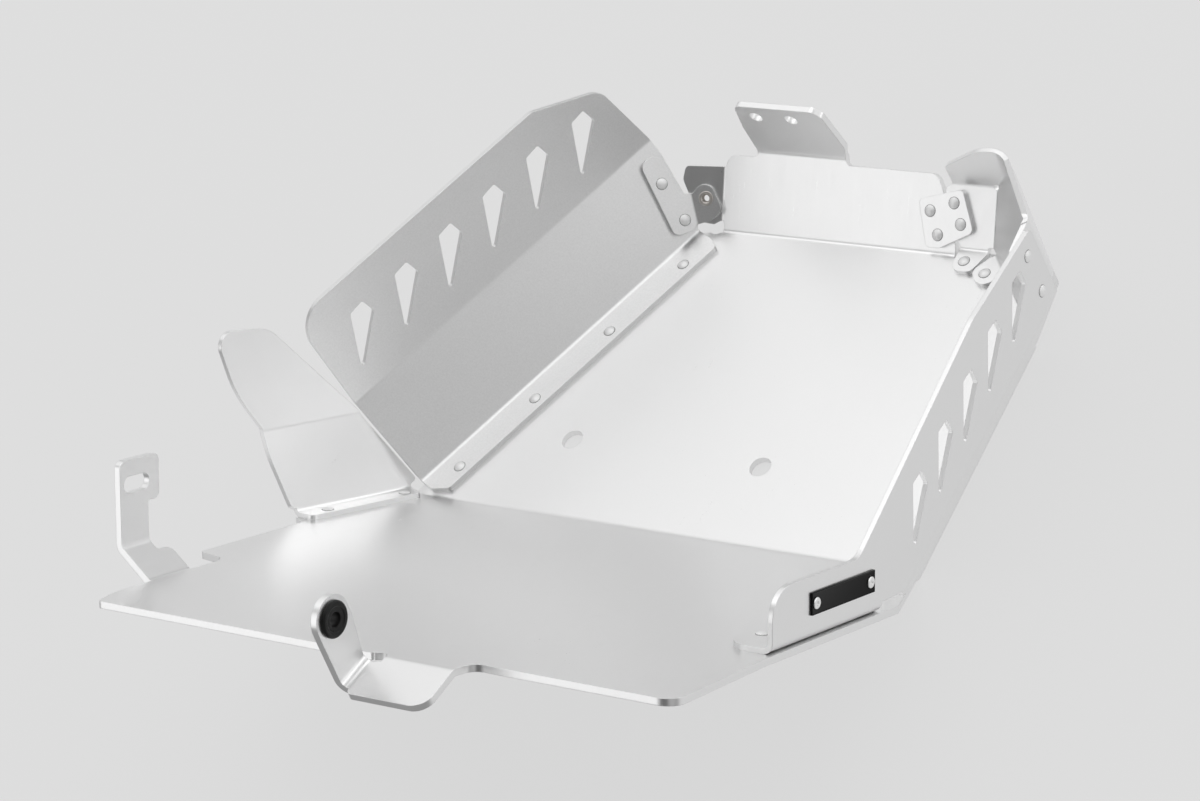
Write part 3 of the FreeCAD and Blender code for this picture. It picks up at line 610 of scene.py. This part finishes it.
@dataclass
class Sheets:
    """The folded sheets and their rivets, which come from the frame and get their finishes here."""

    plain: Names = ("base_plate", "right_side_panel", "corner_joint_plate")
    left: Names = ("left_side_panel", "left_rear_bracket")
    wing: Names = ("left_front_wing",)
    corner: Names = ("rear_corner_panel",)
    rivets: Names = ("left_floor_rivets", "right_floor_rivets", "left_wing_rivets", "right_nose_rivets",
                     "bracket_rivets", "corner_plate_rivets", "corner_floor_rivets", "right_rear_rivets")

    def dress(self) -> None:
        """Give every sheet and rivet its finish."""
        finishes = {
            self.plain: RolledAluminium(),
            # painted shade: the left panel and bracket get a darker copy of the sheet finish; their heavier
            # speckle and grain are the sheet's own
            self.left: RolledAluminium("rolled_aluminium_left_painted_shade", Grain.LEFT_SIDE, shade=0.83, roughness=0.34,
                                       line_depth=0.16, speckle_tone=0.34),
            # painted light: the front wing gets a lighter copy of the sheet finish
            self.wing: RolledAluminium("rolled_aluminium_wing_painted_light", shade=0.97),
            # painted light: the rear corner panel gets a lighter copy of the sheet finish
            self.corner: RolledAluminium("rolled_aluminium_corner_painted_light", Grain.CORNER, shade=0.97, roughness=0.32,
                                         metallic=0.85),
            # the rivet heads' dark rim is painted shade
            self.rivets: TurnedMetal("rivet_head", shade=0.92, roughness=0.50, rim=0.30),
        }
        for names, finish in finishes.items():
            material = finish.build()
            for name in names:
                self.assign(name, material)

    def assign(self, name: str, material: bpy.types.Material) -> None:
        """Set the one finish of a CAD node.

        Args:
            name: The node's name.
            material: The finish.
        """
        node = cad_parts[name]
        if not node.material_slots:
            node.data.materials.append(material)
        for held in node.material_slots:
            held.material = material
        LOG.info("dressed %s", name)


@dataclass
class Grommet:
    """The rubber grommet in the ear: two rounded lips, a dished face and a small bore.

    The seat is the middle of the bore on the ear's right face. Outer, groove and bore are radii, and the
    dish and the lip's flat are measured outwards from the bore.
    """

    seat: Triple = (0.0305, -0.23859, 0.2412)
    outer: float = 10.0
    groove: float = 7.5
    bore: float = 4.0
    sheet: float = 4.0
    lip: float = 2.2
    mouth_depth: float = 0.6
    dish_start: float = 1.0
    dish_end: float = 2.6
    dish_depth: float = 0.5
    flat_start: float = 3.0
    round_in: float = 0.9
    round_down: float = 0.8
    edge_round: float = 0.22
    sides: int = 56

    def build(self) -> bpy.types.Object:
        """Model the grommet.

        Returns:
            The grommet, in its place.
        """
        low = -self.lip
        top = self.sheet + self.lip
        face = [
            (self.bore, self.mouth_depth), (self.bore + self.dish_start, self.dish_depth),
            (self.bore + self.dish_end, self.dish_depth), (self.bore + self.flat_start, 0.0),
            (self.outer - self.round_in, 0.0), (self.outer, self.round_down)]
        lower = [(radius, low + depth) for radius, depth in face]
        upper = [(radius, top - depth) for radius, depth in reversed(face)]
        waist = [(self.outer, 0.0), (self.groove, 0.0), (self.groove, self.sheet), (self.outer, self.sheet)]
        ring = Bench.turned("grommet_rubber", lower + waist + upper + lower[:1], self.sides, True)
        Bench.bevel(ring, self.edge_round)
        Bench.stand(ring, Vector(self.seat), LEFT)
        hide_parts("ear_grommet")
        return ring


@dataclass
class BadgeScrew:
    """A small button-head screw with a round recess. Its seat is the middle of the head's lower face.

    Shank and head are diameters and the recess's sizes radii. A size that ends in _in is measured inwards
    from the head's side, and heights are measured from the seat.
    """

    shank: float = 3.0
    grip: float = 4.2
    head: float = 6.4
    head_side: float = 0.25
    shoulder_in: float = 0.3
    shoulder: float = 0.6
    crown_in: float = 0.8
    crown: float = 0.8
    recess_mouth: float = 1.25
    recess: float = 1.1
    recess_top: float = 0.7
    recess_foot: float = 1.05
    recess_floor: float = 0.1
    dimple: float = 0.2
    dimple_floor: float = 0.05
    edge_round: float = 0.08
    sides: int = 32

    def build(self, number: int, seat: Vector) -> bpy.types.Object:
        """Model one screw.

        Args:
            number: The number in its name.
            seat: Its seat, in metres.

        Returns:
            The screw, in its place.
        """
        shank = self.shank / 2
        head = self.head / 2
        profile = [
            (shank, -self.grip), (shank, 0.0), (head, 0.0), (head, self.head_side),
            (head - self.shoulder_in, self.shoulder), (head - self.crown_in, self.crown),
            (self.recess_mouth, self.crown), (self.recess, self.recess_top),
            (self.recess_foot, self.recess_floor), (self.dimple, self.dimple_floor)]
        screw = Bench.turned("badge_screw_%d" % number, profile, self.sides, False)
        Bench.bevel(screw, self.edge_round)
        Bench.stand(screw, seat, RIGHT)
        return screw


@dataclass
class Badge:
    """The plain black badge: an enamelled plate with a thin raised rim, and its two button-head screws.

    The centre is the middle of its back, on the skirt's outer face. Its length runs up the nose.
    """

    centre: Triple = (0.203, -0.08394, 0.10013)
    length: float = 61.7
    height: float = 12.1
    thickness: float = 1.2
    rim: float = 0.5
    rim_slope: float = 0.25
    face_depth: float = 0.25
    edge_round: float = 0.12
    screw_inset: float = 4.2

    def plate(self) -> bpy.types.Object:
        """Model the badge plate.

        Returns:
            The plate, in its place.
        """
        Bench.clear()
        bpy.ops.mesh.primitive_cube_add(size=1.0, location=(self.thickness / 2 * MM, 0, 0))
        badge = bpy.context.object
        badge.name = "badge_face"
        badge.scale = (self.thickness * MM, self.length * MM, self.height * MM)
        bpy.ops.object.transform_apply(location=True, rotation=True, scale=True)
        bpy.ops.object.mode_set(mode="EDIT")
        bpy.ops.mesh.select_all(action="DESELECT")
        bpy.ops.object.mode_set(mode="OBJECT")
        for face in badge.data.polygons:
            face.select = face.normal.x > FACING
        bpy.ops.object.mode_set(mode="EDIT")
        bpy.ops.mesh.select_mode(type="FACE")
        bpy.ops.mesh.inset(thickness=self.rim * MM, depth=0.0)
        bpy.ops.mesh.inset(thickness=self.rim_slope * MM, depth=-self.face_depth * MM)
        bpy.ops.object.mode_set(mode="OBJECT")
        Bench.bevel(badge, self.edge_round)
        turn = Matrix((RIGHT, NOSE_UP, -NOSE_OUT)).transposed()
        Bench.settle(badge, turn, Vector(self.centre))
        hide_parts("badge_plate")
        return badge

    def screws(self) -> list[bpy.types.Object]:
        """Model the two screws.

        Returns:
            The screws, in their places, the lower one first.
        """
        reach = (self.length / 2 - self.screw_inset) * MM
        front = Vector(self.centre) + RIGHT * (self.thickness * MM)
        made = [BadgeScrew().build(1, front - NOSE_UP * reach),
                BadgeScrew().build(2, front + NOSE_UP * reach)]
        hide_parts("badge_fasteners")
        return made


@dataclass
class RivetNut:
    """The threaded insert of the left rear bracket: a collar, a chamfered mouth and thread rings.

    The seat is the middle of the collar's lower face. The mouth and the foot's chamfer are measured
    outwards from the threads' inner radius, and the chamfer is as high as it is wide.
    """

    seat: Triple = (-0.07793, 0.23184, 0.02225)
    axis: Triple = (0.37461, -0.64408, 0.66696)
    bore: float = 4.2
    body: float = 7.0
    collar: float = 9.0
    collar_height: float = 0.8
    collar_round: float = 0.25
    mouth: float = 0.9
    mouth_foot: float = 0.2
    mouth_depth: float = 0.7
    grip: float = 7.0
    foot: float = 0.3
    pitch: float = 0.8
    thread_depth: float = 0.35
    thread_flat: float = 0.25
    edge_round: float = 0.06
    sides: int = 40

    def build(self) -> bpy.types.Object:
        """Model the insert.

        Returns:
            The insert, in its place.
        """
        core = self.bore / 2
        body = self.body / 2
        collar = self.collar / 2
        foot = (core + self.foot, -self.grip)
        top = self.collar_height
        height = top - self.mouth_depth
        profile = [
            foot, (body, -self.grip), (body, 0.0), (collar, 0.0), (collar, top - self.collar_round),
            (collar - self.collar_round, top), (core + self.mouth, top), (core + self.mouth_foot, height)]
        while height - self.pitch > -self.grip + self.foot:
            turn = height - self.thread_flat
            profile += [(core, turn), (core + self.thread_depth, turn - self.pitch / 2)]
            height -= self.pitch
        nut = Bench.turned("rivet_nut_insert", profile + [foot], self.sides, True)
        Bench.bevel(nut, self.edge_round)
        Bench.stand(nut, Vector(self.seat), Vector(self.axis))
        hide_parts("bracket_rivet_nut")
        return nut


@dataclass(frozen=True)
class SoftLamp:
    """A soft area lamp: its place, the point it faces and its width and height in metres, and its watts."""

    name: str
    place: Triple
    aim: Triple
    size: tuple[float, float]
    power: float

    def hang(self) -> None:
        """Add the lamp to the scene."""
        light = bpy.data.lights.new(self.name, "AREA")
        light.shape = "RECTANGLE"
        light.size, light.size_y = self.size
        light.energy = self.power
        hung = bpy.data.objects.new(self.name, light)
        bpy.context.collection.objects.link(hung)
        hung.location = self.place
        hung.rotation_euler = (Vector(self.aim) - Vector(self.place)).to_track_quat("-Z", "Y").to_euler()


@dataclass
class Studio:
    """Floor, lamps, world and camera.

    The camera's place is in metres, and right and down are its picture's directions. The room is an even
    grey with a dark patch where the photographer stands: stand_edge holds the patch's outer and inner
    edge, as cosines of the angle from stand_direction.
    """

    lens: float = 118.41
    film: float = 36.0
    reach: float = 50.0
    place: Triple = (1.2640, -1.0360, 1.6050)
    right: Triple = (0.8147, 0.4350, -0.3835)
    down: Triple = (0.1124, -0.7673, -0.6314)
    floor_size: float = 12.0
    floor_drop: float = 0.5 * MM
    seen_grey: float = 0.738
    room_grey: float = 0.46
    stand_grey: float = 0.10
    stand_direction: Triple = (0.17, -0.76, 0.63)
    stand_edge: tuple[float, float] = (0.82, 0.93)
    lamps: tuple[SoftLamp, ...] = (
        SoftLamp("overhead_rear", (-1.20, 1.10, 1.45), (0.0, 0.10, 0.0), (2.6, 2.4), 9.2),
        SoftLamp("front_left", (-1.00, -1.10, 0.95), (0.0, 0.20, 0.05), (1.6, 1.3), 4.6),
        SoftLamp("zenith", (0.20, 0.50, 2.50), (0.0, 0.20, 0.0), (3.2, 2.6), 20.0),
        SoftLamp("right", (2.00, 0.60, 1.00), (-0.10, 0.0, 0.08), (1.2, 1.2), 4.2),
        SoftLamp("rear", (1.00, 2.00, 0.90), (-0.10, 0.0, 0.08), (1.4, 1.0), 6.4),
        SoftLamp("right_low", (1.90, 1.15, 0.40), (-0.15, -0.05, 0.08), (1.7, 0.7), 2.6))

    def floor(self) -> None:
        """Lay the floor."""
        Bench.clear()
        bpy.ops.mesh.primitive_plane_add(size=self.floor_size, location=(0, 0, -self.floor_drop))
        ground = bpy.context.object
        ground.name = "studio_floor"
        ground.data.materials.append(StudioFloor().build())

    def world(self) -> None:
        """Fill the room with grey, darker where the photographer stands; the camera sees the floor's tone."""
        room = bpy.data.worlds.new("studio_room")
        bpy.context.scene.world = room
        g = Graph(room)
        seen, fill, stand = [g.node("ShaderNodeBackground", {}, {"Color": grey(tone)})
                             for tone in (self.seen_grey, self.room_grey, self.stand_grey)]
        gaze = g.node("ShaderNodeTexCoord", output="Generated")
        towards = g.node("ShaderNodeVectorMath", {"operation": "DOT_PRODUCT"},
                         {0: gaze, 1: self.stand_direction}, "Value")
        start, end = self.stand_edge
        patch = g.node("ShaderNodeMapRange", {"interpolation_type": "SMOOTHSTEP"},
                       {"Value": towards, "From Min": start, "From Max": end})
        light = g.node("ShaderNodeMixShader", {}, {0: patch, 1: fill, 2: stand})
        looked_at = g.node("ShaderNodeLightPath", output="Is Camera Ray")
        both = g.node("ShaderNodeMixShader", {}, {0: looked_at, 1: light, 2: seen})
        g.finish(both, "ShaderNodeOutputWorld")

    def camera(self) -> None:
        """Set the camera at the photographed angle."""
        data = bpy.data.cameras.new("camera")
        data.lens = self.lens
        data.sensor_width = self.film
        data.sensor_fit = "HORIZONTAL"
        data.clip_end = self.reach
        eye = bpy.data.objects.new("camera", data)
        bpy.context.collection.objects.link(eye)
        right = Vector(self.right).normalized()
        up = -Vector(self.down).normalized()
        turn = Matrix((right, up, right.cross(up))).transposed().to_4x4()
        eye.matrix_world = Matrix.Translation(Vector(self.place)) @ turn
        bpy.context.scene.camera = eye

    def build(self) -> None:
        """Set up the whole studio."""
        self.floor()
        for lamp in self.lamps:
            lamp.hang()
        self.world()
        self.camera()
        bpy.context.scene.view_settings.view_transform = "Standard"


def main() -> None:
    """Build the studio and the object, piece by piece."""
    logging.basicConfig(level=logging.INFO, format="%(name)s: %(message)s")
    Studio().build()
    Sheets().dress()
    Bench.hand_over(Grommet().build(), BlackRubber().build(), "grommet_rubber")
    badge = Badge()
    Bench.hand_over(badge.plate(), BlackEnamel().build(), "badge_black")
    # the screws' pale rim is a painted highlight
    screw_metal = TurnedMetal("screw_head", shade=0.90, roughness=0.26, rim=0.92).build()
    for screw in badge.screws():
        Bench.hand_over(screw, screw_metal, "fastener")
    # the insert's pale rim is a painted highlight
    insert_metal = TurnedMetal("insert_steel", shade=0.55, roughness=0.3, rim=0.70, warm=0.03).build()
    Bench.hand_over(RivetNut().build(), insert_metal, "nut_steel")


if __name__ == "__main__":
    main()
